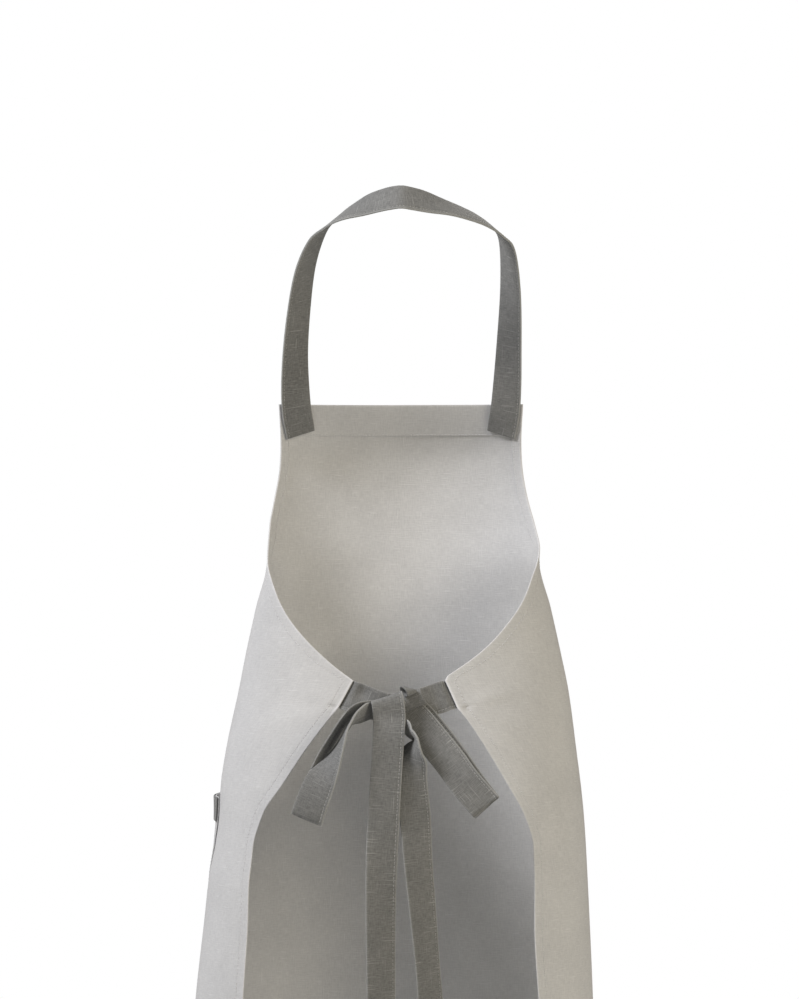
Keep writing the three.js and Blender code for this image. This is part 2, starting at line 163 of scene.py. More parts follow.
# Spun cotton thread: two plies twisted together, which give a fine slanting stripe along each stitch.
# The stripe is a wave across the UV's diagonal that mixes a deep and a pale colour.
def spunThread(name, deep, pale):
    material, tree = emptyMaterial(name)
    uv = addNode(tree, "ShaderNodeUVMap", {}, uv_map="cloth").outputs[0]
    inputs = {"Vector": uv, "Scale": 1 / (spun["pitch"] * mm), "Distortion": spun["wander"]}
    plies = addNode(tree, "ShaderNodeTexWave", inputs, bands_direction="DIAGONAL").outputs[1]
    colour = mixColours(tree, plies, linear(deep), linear(pale))
    shader = addNode(tree, "ShaderNodeBsdfPrincipled",
                     {"Base Color": colour, "Roughness": spun["roughness"], "IOR": spun["ior"],
                      "Sheen Weight": spun["sheen"]})
    addNode(tree, "ShaderNodeOutputMaterial", {"Surface": shader.outputs[0]})
    return material


# Widths, runs and heights in mm
# The rim colour and its share are a painted highlight along the cloth's edges
lightWeave = {"deep": "#bababa", "pale": "#d4d4d3", "rimHighlight": "#f2f2f4", "rimHighlightShare": 0.8,
              "thread": 1.0, "run": 7, "cloud": 45, "warpTone": 0.17, "weftTone": 0.17, "cloudTone": 0.1,
              "slub": 1.0, "slubRun": 18, "slubPale": "#dfdfdf", "slubShare": 0.4,
              "relief": 0.35, "reliefHeight": 0.3, "sheen": 0.12}
darkWeave = {"deep": "#5f605f", "pale": "#888886", "rimHighlight": "#b2b3b1", "rimHighlightShare": 0.6,
             "thread": 0.8, "run": 6, "cloud": 40, "warpTone": 0.2, "weftTone": 0.26, "cloudTone": 0.1,
             "slub": 0.9, "slubRun": 26, "slubPale": "#a8a9a6", "slubShare": 0.6,
             "relief": 0.5, "reliefHeight": 0.3, "sheen": 0.15}
lightCotton = wovenCotton("plainWovenCotton", lightWeave)
darkCotton = wovenCotton("slubCottonTape", darkWeave)
paleThread = spunThread("paleCottonThread", "#c4c4c6", "#dedede")
greyThread = spunThread("greyCottonThread", "#8a8a88", "#bebebb")
print("materials made")


# A mesh object from points in mm, faces, a UV in mm for each face corner, and each point's share of the
# painted edge highlight
def addPiece(name, points, faces, cornerUv, material, rimHighlight=None):
    mesh = bpy.data.meshes.new(name)
    mesh.from_pydata((points * mm).tolist(), [], faces.tolist())
    layer = mesh.uv_layers.new(name="cloth")
    layer.data.foreach_set("uv", (cornerUv * mm).ravel())
    mesh.polygons.foreach_set("use_smooth", np.ones(len(faces), bool))
    if rimHighlight is not None:
        mesh.attributes.new("rimHighlight", "FLOAT", "POINT").data.foreach_set("value", rimHighlight)
    mesh.materials.append(material)
    piece = bpy.data.objects.new(name, mesh)
    bpy.context.collection.objects.link(piece)
    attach(piece, "root")
    return piece


# Quads of a grid of point numbers, in the order across then along
def gridQuads(index):
    return np.stack([index[:-1, :-1], index[:-1, 1:], index[1:, 1:], index[1:, :-1]], -1).reshape(-1, 4)


# A closed sheet: an outer and an inner skin on one grid, welded to each other along the border.
# Rows run along the sheet and columns across it; a ring's last row joins its first.
def addSheet(name, outer, inner, uv, material, ring=False, rimHighlight=None):
    rows, columns = outer.shape[:2]
    outerIndex = np.arange(rows * columns).reshape(rows, columns)
    inside = np.ones((rows, columns), bool)
    inside[:, [0, -1]] = False
    if not ring:
        inside[[0, -1]] = False
    innerIndex = outerIndex.copy()
    innerIndex[inside] = rows * columns + np.arange(inside.sum())
    if ring:
        outerIndex = np.vstack([outerIndex, outerIndex[:1]])
        innerIndex = np.vstack([innerIndex, innerIndex[:1]])
    faces = np.concatenate([gridQuads(outerIndex), gridQuads(innerIndex)[:, ::-1]])
    corners = gridQuads(np.arange(len(outerIndex) * columns).reshape(-1, columns))
    corners = np.concatenate([corners, corners[:, ::-1]])
    points = np.concatenate([outer.reshape(-1, 3), inner[inside]])
    rimHighlight = None if rimHighlight is None else np.concatenate([rimHighlight.ravel(), rimHighlight[inside]])
    return addPiece(name, points, faces, uv.reshape(-1, 2)[corners], material, rimHighlight)


# Vectors over their own lengths
def unit(vectors):
    return vectors / np.linalg.norm(vectors, axis=-1, keepdims=True)


# Normals of a grid of points: the step across crossed with the step along
def gridNormals(points):
    return unit(np.cross(np.gradient(points, axis=1), np.gradient(points, axis=0)))


# Distance run along a line of points: the sum of its steps, from 0
def runAlong(line):
    return np.r_[0, np.cumsum(np.linalg.norm(np.diff(line, axis=0), axis=1))]


# 0 below low, 1 above high, and the smooth cubic step between
def smoothStep(value, low, high):
    t = np.clip((value - low) / (high - low), 0, 1)
    return t * t * (3 - 2 * t)


# The quarter-round of a cloth's edge: 0 at the border, 1 from the given radius inwards
def roundedEdge(distance, radius):
    return np.sqrt(1 - (1 - np.clip(distance / radius, 0, 1)) ** 2)


# A monotone cubic down one column of a table by level: a row's slope is the harmonic mean of the
# slopes either side of it, or zero where they turn.
def downColumn(table, column, z):
    rows = np.array(table, float)[::-1]
    level, value = rows[:, 0], rows[:, column]
    slope = np.diff(value) / np.diff(level)
    below, above = np.r_[slope[0], slope], np.r_[slope, slope[-1]]
    same = below * above > 0
    tangent = np.where(same, 2 * below * above / np.where(same, below + above, 1), 0)
    i = np.clip(np.searchsorted(level, z, "right") - 1, 0, len(level) - 2)
    span, rise = np.diff(level)[i], np.diff(value)[i]
    t = np.clip((z - level[i]) / span, 0, 1)
    bend = tangent[i] * span * (1 - t) - tangent[i + 1] * span * t + rise * (2 * t - 1)
    return value[i] + rise * t + t * (1 - t) * bend


# Panel: the bib, the front and the skirt's sides in one cloth, hemmed all round
panel = {"bibTop": -190, "tieTop": -450, "tieBottom": -475, "foldStart": -560, "hem": -1032, "axisY": 60,
         "outside": 0.6, "inside": 0.25, "hemInside": 1.05, "edgeRadius": 0.9,  # faces off the middle
         "sideHem": 10, "topHem": 30, "bottomHem": 25, "hemStep": 0.35,
         "sideSeam": 8.6, "topSeam": 28.3, "bottomSeam": 23.3, "seamWidth": 0.8, "seamDip": 0.1,
         "rimHighlightWidth": 1.8, "plainRimHighlight": 0.2, "rimHighlightFade": 7,  # the painted highlight along the edge is strongest beside the ties
         "columns": 54, "rowStep": 4.4, "tieRowStep": 1.2, "steepest": 1.8, "smoothing": 7, "inland": 99.0,
         "flat": (0.72, 0.85), "area": 0.5}
# level, and reach from the axis to the left, right, front and back
sections = [
    (-190, 160, 160, 80, 75), (-245, 148, 148, 106, 75), (-300, 138, 138, 98, 75),
    (-340, 126.5, 131, 92, 74), (-385, 137, 142, 88, 71), (-425, 146, 151, 87, 74),
    (-465, 154, 159, 90, 82), (-520, 165.5, 166, 98, 98), (-555, 170.4, 170.4, 103, 108.6),
    (-580, 171.5, 173, 106, 114), (-608, 175.2, 175.1, 109, 117.3), (-640, 181.5, 177, 111, 119),
    (-680, 186, 179.1, 113, 118.5), (-760, 194, 183, 116, 116), (-900, 202, 190, 121, 112),
    (-1032, 206, 195, 125, 110)]
# level, and the left and right edges' angles round from the front
armhole = [
    (-190, 47.5, 47.5), (-220, 49.5, 49.5), (-250, 53, 53), (-280, 59.5, 59.5), (-310, 70, 72),
    (-338, 90, 97), (-354, 106, 111.6), (-368, 116.5, 120.4), (-396, 132.5, 135.7), (-422, 147, 149.4),
    (-440, 157, 160.4), (-446, 160.6, 164.1), (-450, 163, 164.9)]
skirtEdge = [
    (-475, 158.2, 161.1), (-491, 153.7, 156.7), (-519, 146.4, 150.2), (-547, 139.5, 144.2),
    (-575, 131.4, 138.6), (-603, 128.2, 135.7), (-631, 128.8, 135.8), (-687, 130.4, 136.5),
    (-743, 130.7, 135.7), (-1032, 125, 129)]
# angle, width and height of each soft fold at the hem
hemFolds = [(-104, 13, 9), (-62, 15, -8), (-24, 14, 10), (18, 15, -9), (52, 13, 10), (88, 14, -8),
            (116, 10, 8)]
# soft drag folds, as lines x, z to x, z in the view from behind, with half-width and depth
dragFolds = [
    (-62, -470, -104, -455, 7, 0.9), (-66, -477, -150, -500, 9, 0.9), (-74, -492, -150, -560, 12, 0.8),
    (64, -472, 110, -458, 7, 0.9), (68, -478, 140, -505, 9, 0.9), (80, -500, 150, -580, 12, 0.8),
    (-60, -474.8, -70, -472.2, 0.9, -1.2), (57.5, -475.4, 66.5, -472.4, 0.9, -1.2)]
drag = {"behind": (90, 40), "start": (-0.1, 0.12), "end": (1.1, 0.2)}  # depth, and shares of the line
slack = {"height": 0.35, "round": 11, "down": 61, "crossRound": 37, "crossDown": 83}


# Cloth's middle at an angle and level: an ellipse with its own reach each way, pushed out by bells round
# the hem that grow with depth squared
def clothPoint(angle, z):
    turn = np.radians(angle)
    sine, cosine = np.sin(turn), np.cos(turn)
    side = np.where(sine < 0, downColumn(sections, 1, z), downColumn(sections, 2, z))
    depth = np.where(cosine > 0, downColumn(sections, 3, z), downColumn(sections, 4, z))
    growth = np.clip((panel["foldStart"] - z) / (panel["foldStart"] - panel["hem"]), 0, 1) ** 2
    out = growth * sum(height * np.exp(-((angle - at) / width) ** 2) for at, width, height in hemFolds)
    return np.stack([(side + out) * sine, panel["axisY"] + (depth + out) * cosine, z + 0 * turn], -1)


# Side edge at a level: the armhole's curve, the straight tie seam, the skirt's curve
def sideEdge(column, z):
    upper, lower = downColumn(armhole, column, z), downColumn(skirtEdge, column, z)
    top, bottom = panel["tieTop"], panel["tieBottom"]
    seam = np.interp(z, [bottom, top], [skirtEdge[0][column], armhole[-1][column]])
    return np.where(z >= top, upper, np.where(z <= bottom, lower, seam))


# Distance from points to a straight line between two ends, in the view from behind, and the place along it
def lineDistance(x, z, x0, z0, x1, z1):
    run = np.hypot(x1 - x0, z1 - z0)
    along = ((x - x0) * (x1 - x0) + (z - z0) * (z1 - z0)) / run
    off = ((x - x0) * (z1 - z0) - (z - z0) * (x1 - x0)) / run
    return off, along / run


# Relief of the panel's cloth off its plain form: drag folds as bells across each line that fade along it,
# on the back half, and slow crossed waves a few tenths of a mm high all over
def panelRelief(points, angle, z):
    wave = np.sin(angle / slack["round"] + z / slack["down"])
    crossWave = np.sin(z / slack["crossDown"] - angle / slack["crossRound"])
    relief = slack["height"] * wave * crossWave
    behind = smoothStep(points[..., 1], *drag["behind"])
    for x0, z0, x1, z1, width, depth in dragFolds:
        off, along = lineDistance(points[..., 0], z, x0, z0, x1, z1)
        fade = smoothStep(along, *drag["start"]) * smoothStep(along, *drag["end"])
        relief = relief + behind * depth * fade * np.exp(-(off / width) ** 2)
    return relief


# Rows cluster at the two hems and columns at the side hems, where the folded cloth steps in thickness
edgeSteps = np.array([0, 0.12, 0.4, 0.9, 1.5, 2.2, 3.2, 5, 7, 8, 8.6, 9.2, 9.7, 10.3, 11.2, 13])
topSteps = np.array([0, 0.12, 0.4, 0.9, 2, 6, 12, 18, 24, 27.5, 28.3, 29, 29.7, 30.3, 31.2, 33])
bottomSteps = np.array([0, 0.12, 0.4, 0.9, 2, 6, 12, 18, 22.5, 23.3, 24, 24.7, 25.3, 26.2, 28])


# Even levels from one to another, without the two themselves
def levelsBetween(top, bottom, step=panel["rowStep"]):
    return np.linspace(top, bottom, int(abs(top - bottom) / step) + 2)[1:-1]


topRows = panel["bibTop"] - topSteps
bottomRows = (panel["hem"] + bottomSteps)[::-1]
levels = np.r_[topRows, levelsBetween(topRows[-1], panel["tieTop"]), panel["tieTop"],
               levelsBetween(panel["tieTop"], panel["tieBottom"], panel["tieRowStep"]), panel["tieBottom"],
               levelsBetween(panel["tieBottom"], bottomRows[0]), bottomRows]


# Angles of one half's columns at each level, from the edge inwards: hem columns at fixed distances square
# to the edge, then even steps to the centre front
def halfAngles(column):
    edge = sideEdge(column, levels)
    depthColumn = np.where(edge < 90, downColumn(sections, 3, levels), downColumn(sections, 4, levels))
    turn = np.radians(edge)
    speed = np.hypot(downColumn(sections, column, levels) * np.cos(turn), depthColumn * np.sin(turn))
    slant = speed * np.gradient(turn, levels)
    smoothing = panel["smoothing"]
    slant = np.convolve(np.pad(slant, smoothing // 2, "edge"), np.full(smoothing, 1 / smoothing), "valid")
    stretch = np.sqrt(1 + np.clip(slant, -panel["steepest"], panel["steepest"]) ** 2)
    steps = np.degrees(edgeSteps[None] * stretch[:, None] / speed[:, None])
    hemmed = edge[:, None] - steps
    share = np.linspace(1, 0, panel["columns"] + 1)[1:]
    return np.hstack([hemmed, hemmed[:, -1:] * share])


# 1 within a hem's width of the border and 0 beyond it, over a short smooth step
def inHem(distance, width):
    return smoothStep(distance, width + panel["hemStep"], width - panel["hemStep"])


left, right = halfAngles(1), halfAngles(2)
panelAngles = np.hstack([-left, right[:, -2::-1]])
panelLevels = np.repeat(levels[:, None], panelAngles.shape[1], 1)
halfSteps = np.r_[edgeSteps, np.full(panel["columns"], panel["inland"])]
fromSide = np.r_[halfSteps, halfSteps[-2::-1]][None] + 0 * panelAngles
fromTop = panel["bibTop"] - panelLevels
fromBottom = panelLevels - panel["hem"]
panelMiddle = clothPoint(panelAngles, panelLevels)
panelNormal = gridNormals(panelMiddle)
panelMiddle = panelMiddle + panelNormal * panelRelief(panelMiddle, panelAngles, panelLevels)[..., None]
panelNormal = gridNormals(panelMiddle)
hemmed = np.maximum.reduce([inHem(fromSide, panel["sideHem"]), inHem(fromTop, panel["topHem"]),
                            inHem(fromBottom, panel["bottomHem"])])
border = roundedEdge(np.minimum.reduce([fromSide, fromTop, fromBottom]), panel["edgeRadius"])
# the stitch line pulls the cloth in
stitchDip = panel["seamDip"] * np.exp(-((fromSide - panel["sideSeam"]) / panel["seamWidth"]) ** 2)
outsideFace = (panel["outside"] - stitchDip) * border
insideFace = (panel["inside"] + (panel["hemInside"] - panel["inside"]) * hemmed - stitchDip) * border
panelOuter = panelMiddle + panelNormal * outsideFace[..., None]
panelInner = panelMiddle - panelNormal * insideFace[..., None]
columnSteps = np.linalg.norm(np.diff(panelMiddle, axis=1), axis=-1)
acrossRun = np.cumsum(np.pad(columnSteps, ((0, 0), (1, 0))), axis=1)
acrossRun -= acrossRun[:, left.shape[1] - 1][:, None]
panelUv = np.stack([acrossRun, -panelLevels], -1)
# Painted highlight along the panel's border, strongest beside the tie seams, standing in for the hem's edge
# catching the light
byTie = (smoothStep(panelLevels, panel["tieBottom"] - panel["rimHighlightFade"], panel["tieBottom"])
         * smoothStep(panelLevels, panel["tieTop"] + panel["rimHighlightFade"], panel["tieTop"]))
panelRimHighlight = np.exp(-(fromSide / panel["rimHighlightWidth"]) ** 2)
panelRimHighlight = panelRimHighlight * (panel["plainRimHighlight"] + (1 - panel["plainRimHighlight"]) * byTie)
panelCloth = addSheet("panelCloth", panelOuter, panelInner, panelUv, lightCotton,
                      rimHighlight=panelRimHighlight)
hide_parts("apron_panel")
print("panel", panelOuter.shape)


# Stitches: spindle-shaped grains in a row, each a ring of four points at three places along it and two tips
stitch = {"pitch": 3.4, "length": 2.5, "radius": 0.36, "lift": 0.08, "sides": 4,
          "tips": (-0.5, 0.5), "rings": (-0.3, 0, 0.3), "sizes": (0.75, 1, 0.75)}
sides = stitch["sides"]
grainAlong = np.r_[stitch["tips"][0], np.repeat(stitch["rings"], sides), stitch["tips"][1]]
grainAngle = np.tile(np.arange(sides) * 2 * np.pi / sides, len(stitch["rings"]))
grainSize = np.repeat(stitch["sizes"], sides)
grainSide = np.r_[0, np.cos(grainAngle) * grainSize, 0]
grainUp = np.r_[0, np.sin(grainAngle) * grainSize, 0]
ringPoint = np.arange(sides)
ringNext = np.roll(ringPoint, -1)
lastTip = len(grainAlong) - 1
lastRing = lastTip - sides


# Two triangles on each side between the ring that starts at a point's number and the next ring
def joinRings(start):
    near, nearNext = start + ringPoint, start + ringNext
    far, farNext = near + sides, nearNext + sides
    return np.concatenate([np.stack([near, nearNext, farNext], -1), np.stack([near, farNext, far], -1)])


grainFaces = np.concatenate([
    np.stack([0 * ringPoint, 1 + ringNext, 1 + ringPoint], -1),
    *[joinRings(start) for start in range(1, lastRing, sides)],
    np.stack([lastRing + ringPoint, lastRing + ringNext, 0 * ringPoint + lastTip], -1)])


# Evenly spaced grains along lines of points, each lying along its line with its back to the cloth
def stitchGrains(line, outward):
    run = runAlong(line)
    places = np.arange(stitch["pitch"] / 2, run[-1], stitch["pitch"])

    def pick(values):
        return np.stack([np.interp(places, run, values[:, k]) for k in range(3)], -1)

    along = unit(pick(np.gradient(line, axis=0)))
    up = unit(pick(outward))
    side = unit(np.cross(up, along))
    return pick(line), along, side, up


# A grain's point is its centre plus the spindle's own steps along the line, to the side and up
def addStitches(name, lines, material):
    parts = [stitchGrains(*line) for line in lines]
    centre, along, side, up = (np.concatenate(part) for part in zip(*parts))
    grains = (centre[:, None] + along[:, None] * (grainAlong * stitch["length"])[None, :, None]
              + side[:, None] * (grainSide * stitch["radius"])[None, :, None]
              + up[:, None] * (grainUp * stitch["radius"] + stitch["lift"])[None, :, None])
    count = len(centre)
    faces = (grainFaces[None] + len(grainAlong) * np.arange(count)[:, None, None]).reshape(-1, 3)
    uv = np.tile(np.stack([grainAlong * stitch["length"], grainSide * stitch["radius"]], -1), (count, 1))
    return addPiece(name, grains.reshape(-1, 3), faces, uv[faces].reshape(-1, 2), material)


# Number of the value in a row that is nearest to a place
def nearest(values, place):
    return int(np.argmin(abs(values - place)))


seamColumn = nearest(edgeSteps, panel["sideSeam"])
topRow = nearest(levels, panel["bibTop"] - panel["topSeam"])
bottomRow = nearest(levels, panel["hem"] + panel["bottomSeam"])
offBorder = slice(4, -4)  # stitches stop just short of the border
panelLines = []
for skin, sign in ((panelOuter, 1), (panelInner, -1)):
    for column in (seamColumn, -1 - seamColumn):
        panelLines.append((skin[offBorder, column], sign * panelNormal[offBorder, column]))
    for row in (topRow, bottomRow):
        panelLines.append((skin[row, offBorder], sign * panelNormal[row, offBorder]))
panelStitches = addStitches("panelStitches", panelLines, paleThread)
print("panel stitches", len(panelStitches.data.polygons))


# Pocket: a patch that is sewn down at its sides and bottom and gapes at its mouth, with a dark band
pocket = {"outer": -94, "inner": -22, "outerLow": -72, "innerLow": -26, "top": -564, "bottom": -744,
          "gape": 9, "gapeDepth": 120, "gapePower": 1.2, "fill": 1.2, "fillPower": 6,
          "cloth": 1.2, "gap": 0.6, "half": 0.5, "band": 24, "bandHalf": 0.6, "edgeRadius": 0.9,
          "seam": 2.6, "seamWidth": 0.7, "seamDip": 0.15, "step": 4.5, "width": 178, "area": 0.0274}


# Points off the panel's cloth along its normal, which is found by small steps round and down
def offCloth(angle, z, distance):
    nudge = 0.05
    around = clothPoint(angle + nudge, z) - clothPoint(angle - nudge, z)
    down = clothPoint(angle, z - nudge) - clothPoint(angle, z + nudge)
    return clothPoint(angle, z) + unit(np.cross(around, down)) * np.asarray(distance)[..., None]


# Pocket's lift off the panel: a rounded hump across that fades slowly and then fast below the mouth, plus
# a flat fill that goes to zero at the sewn sides and bottom
def pocketPoint(u, z, beyond):
    depth = np.clip((pocket["top"] - z) / (pocket["top"] - pocket["bottom"]), 0, 1)
    outer = pocket["outer"] + (pocket["outerLow"] - pocket["outer"]) * depth
    inner = pocket["inner"] + (pocket["innerLow"] - pocket["inner"]) * depth
    angle = outer + (inner - outer) * u
    mouth = (1 - np.clip((pocket["top"] - z) / pocket["gapeDepth"], 0, 1) ** 2) ** 2
    hump = np.clip(1 - (2 * u - 1) ** 2, 0, 1) ** pocket["gapePower"]
    flatFill = (1 - (2 * u - 1) ** pocket["fillPower"]) * (1 - depth ** pocket["fillPower"])
    lift = pocket["gape"] * mouth * hump + pocket["fill"] * flatFill
    return offCloth(angle, z, pocket["cloth"] + pocket["gap"] + lift + beyond)


# Places across a patch: close together at both edges and even between them
def stepsWithEdges(length, step):
    edges = np.array([0, 0.12, 0.4, 0.9, 1.8, 2.6, 3.4, 5])
    inland = edges[-1]
    count = int((length - 2 * inland) / step)
    return np.r_[edges, np.linspace(inland, length - inland, count + 1)[1:-1], length - edges[::-1]]


# A patch on the pocket's form: half its thickness either way along the normal, rounded at the border and
# pulled in by a bell along the stitch line
def addPatch(name, height, beyond, half, material):
    width = pocket["width"]
    acrossSteps, downSteps = stepsWithEdges(width, pocket["step"]), stepsWithEdges(height, pocket["step"])
    u = np.repeat((acrossSteps / width)[None], len(downSteps), 0)
    z = np.repeat(pocket["top"] - downSteps[:, None], len(acrossSteps), 1)
    fromBorder = np.minimum(np.minimum(acrossSteps, width - acrossSteps)[None],
                            np.minimum(downSteps, height - downSteps)[:, None])
    dip = pocket["seamDip"] * np.exp(-((fromBorder - pocket["seam"]) / pocket["seamWidth"]) ** 2)
    thick = half * roundedEdge(fromBorder, pocket["edgeRadius"]) - dip
    middle = pocketPoint(u, z, beyond)
    normal = gridNormals(middle)
    skin = middle + normal * thick[..., None]
    uv = np.stack([u * width, -z], -1)
    piece = addSheet(name, skin, middle - normal * thick[..., None], uv, material)
    lines = []
    inset = nearest(acrossSteps, pocket["seam"])
    for column in (inset, -1 - inset):
        lines.append((skin[inset:-inset, column], normal[inset:-inset, column]))
    for row in (inset, -1 - inset):
        lines.append((skin[row, inset:-inset], normal[row, inset:-inset]))
    return piece, lines


pocketHeight = pocket["top"] - pocket["bottom"]
pocketCloth, pocketLines = addPatch("pocketCloth", pocketHeight, 0.0, pocket["half"],
                                    lightCotton)
pocketBand, bandLines = addPatch("pocketBandCloth", pocket["band"], pocket["cloth"] + pocket["gap"],
                                 pocket["bandHalf"], darkCotton)
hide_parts("hip_pocket")
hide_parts("pocket_band")
pocketSeams = pocketLines[:2] + pocketLines[3:]  # no row along the mouth, which the band covers
pocketStitches = addStitches("pocketStitches", pocketSeams, paleThread)
bandStitches = addStitches("bandStitches", bandLines, greyThread)
print("pocket")


# Straps: folded tape, sewn along one edge
# rim is the width of a painted highlight along the tape's edges, and foldRimHighlight its strength on the
# folded edge
tape = {"width": 30, "half": 0.92, "edgeRadius": 0.95, "step": 2.5, "endInset": 2, "samples": 60,
        "rimHighlight": 0.8, "foldRimHighlight": 0.5, "waveAlong": 23, "waveAcross": 9, "narrowest": 0.3, "widest": 1.2,
        "seamPlace": 7, "uvShift": 50}
tapeEdge = np.array([0, 0.12, 0.4, 0.95])
# distance in from the folded edge and half-thickness there; the sewn edge has two lips with a cleft between
foldSide = np.array([(0, 0), (0.12, 0.42), (0.4, 0.74), (0.95, 0.9), (2.4, 0.92), (5, 0.92), (8.5, 0.92),
                     (12, 0.92)])
sewnSide = np.array([(0.6, 0), (0.14, 0.24), (0, 0.5), (0.16, 0.74), (0.55, 0.9), (1.3, 0.95), (2.3, 0.92),
                     (2.8, 0.72), (3.2, 0.7), (3.8, 0.9), (5.5, 0.92), (8.5, 0.92), (12, 0.92)])


# Places along a length: close together at both ends, where the tape is rounded, and even between them
def placesAlong(length, count):
    inset = tape["endInset"]
    return np.r_[tapeEdge, np.linspace(inset, length - inset, count), length - tapeEdge[::-1]]


# Catmull-Rom: each span is the cubic whose end slopes are half the step between the neighbouring rows
def throughRows(rows, t):
    padded = np.concatenate([[2 * rows[0] - rows[1]], rows, [2 * rows[-1] - rows[-2]]])
    i = np.clip(t.astype(int), 0, len(rows) - 2)
    s = (t - i)[:, None]
    p0, p1, p2, p3 = (padded[i + k] for k in range(4))
    return p1 + 0.5 * s * (p2 - p0 + s * (2 * p0 - 5 * p1 + 4 * p2 - p3 + s * (3 * (p1 - p2) + p3 - p0)))


# A strap along its stations: the tape's section is carried along the smooth path, its width turned by lean
# and tip and squared to the path, with slow crossed waves off it and one bell-shaped dent where it has one
def addTape(name, stations, sewnLeft, phase, nodes, wave=0.5, dent=None):
    rows = np.array(stations, float)
    dense = np.linspace(0, len(rows) - 1, tape["samples"] * (len(rows) - 1) + 1)
    run = runAlong(throughRows(rows[:, :3], dense))
    length = run[-1]
    places = placesAlong(length, int((length - 2 * tape["endInset"]) / tape["step"]))
    t = np.interp(places, run, dense)
    middle = throughRows(rows[:, :3], t)
    along = unit(np.gradient(middle, places, axis=0))
    lean, tip, width = throughRows(rows[:, 3:6], t).T
    lean, tip = np.radians(lean), np.radians(tip)
    across = np.stack([np.cos(tip) * np.cos(lean), np.sin(tip), np.cos(tip) * np.sin(lean)], -1)
    across = unit(across - along * np.sum(across * along, -1, keepdims=True))
    normal = np.cross(across, along)
    first, last = (sewnSide, foldSide) if sewnLeft else (foldSide, sewnSide)
    place = np.r_[first[:, 0] - tape["width"] / 2, 0, tape["width"] / 2 - last[::-1, 0]]
    half = np.r_[first[:, 1], tape["half"], last[::-1, 1]]
    fromEnd = np.minimum(places, length - places)
    thick = half[None] * roundedEdge(fromEnd, tape["edgeRadius"])[:, None]
    squeeze = np.clip(width / tape["width"], tape["narrowest"], tape["widest"])
    spread = place[None] * squeeze[:, None]
    slowAlong = wave * np.sin(places / tape["waveAlong"] + phase)
    slow = slowAlong[:, None] * np.cos(place[None] / tape["waveAcross"] + phase)
    sheet = middle[:, None] + across[:, None] * spread[..., None] + normal[:, None] * slow[..., None]
    if dent:
        x, z, radius, depth = dent
        away = np.hypot(sheet[..., 0] - x, sheet[..., 2] - z) / radius
        sheet = sheet + normal[:, None] * (depth * np.exp(-away ** 2))[..., None]
    faceNormal = gridNormals(sheet)
    outer, inner = sheet + faceNormal * thick[..., None], sheet - faceNormal * thick[..., None]
    # each strap takes its own part of the weave
    uv = np.stack([place[None] + 0 * thick + tape["uvShift"] * phase, places[:, None] + 0 * thick], -1)
    # Painted highlight along the tape's edges, standing in for light caught by them, weaker on the folded
    # edge
    highlightStrength = np.where((place < 0) == sewnLeft, 1, tape["foldRimHighlight"])  # less on the folded edge
    rimHighlight = highlightStrength * np.exp(-((tape["width"] / 2 - abs(place)) / tape["rimHighlight"]) ** 2)
    piece = addSheet(name, outer, inner, uv, darkCotton, rimHighlight=rimHighlight[None] + 0 * thick)
    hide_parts(*nodes)
    seam = tape["seamPlace"] if sewnLeft else -1 - tape["seamPlace"]
    offEnd = slice(3, -3)  # stitches stop just short of the ends
    lines = [(outer[offEnd, seam], faceNormal[offEnd, seam]),
             (inner[offEnd, seam], -faceNormal[offEnd, seam])]
    stitches = addStitches(name.replace("Tape", "Stitches"), lines, greyThread)
    return {"piece": piece, "stitches": stitches, "length": length}


# Station at a point with its width along a direction: lean is its angle in x and z, tip its rise to y
def station(point, widthAlong, width):
    x, y, z = unit(widthAlong)
    return (*point, math.degrees(math.atan2(z, x)), math.degrees(math.asin(y)), width)


# Neck strap: each side from the nape to the bib, as x, y, z, lean, tip
neck = {"sewnAngle": 40, "sewnDepth": 28, "inset": 3.9, "halfTurn": 0.5, "width": 30.0, "wave": 0.2,
        "nape": (0, -0.9, 0, 90, 41)}
neckLeft = [
    (-6, 0.6, -0.4, 86, 40), (-16, 5.3, -1.9, 82, 39), (-32, 14, -5.9, 79, 43), (-48, 23.5, -11.3, 62, 51),
    (-58, 31, -15.7, 50, 51), (-66, 39, -21, 42, 49), (-79, 55, -32, 34, 48), (-91, 78, -60, 22, 47),
    (-98, 97, -100, 13, 43), (-102, 111, -145, 8, 36)]
neckRight = [
    (6, 0.6, -0.5, 94, 40), (23.4, 8.9, -3.4, 102, 41), (43, 19.5, -7.7, 115, 50),
    (63, 31.5, -13.5, 125, 52), (77, 42, -18.9, 131, 51), (91, 55, -27.5, 135, 50), (101, 70, -40, 140, 51),
    (105, 91, -80, 156, 48), (104, 108, -138, 168, 37)]


# One side's stations, ended by two that lie behind the bib with their width along its cloth
def neckSide(side, stations):
    rows = [(*row, neck["width"]) for row in stations]
    for sewnLevel in (panel["bibTop"], panel["bibTop"] - neck["sewnDepth"]):
        angle, level = np.array(side * neck["sewnAngle"], float), np.array(sewnLevel, float)
        halfTurn = side * neck["halfTurn"]
        inward = clothPoint(angle - halfTurn, level) - clothPoint(angle + halfTurn, level)
        x, y, z, lean, tip, width = station(offCloth(angle, level, -neck["inset"]), inward, neck["width"])
        rows.append((x, y, z, lean % 360, tip, width))
    return rows


neckRows = neckSide(-1, neckLeft)[::-1] + [(*neck["nape"], neck["width"])] + neckSide(1, neckRight)
neckStrap = addTape("neckTape", neckRows, True, 0.3, ["neck_strap"], neck["wave"])


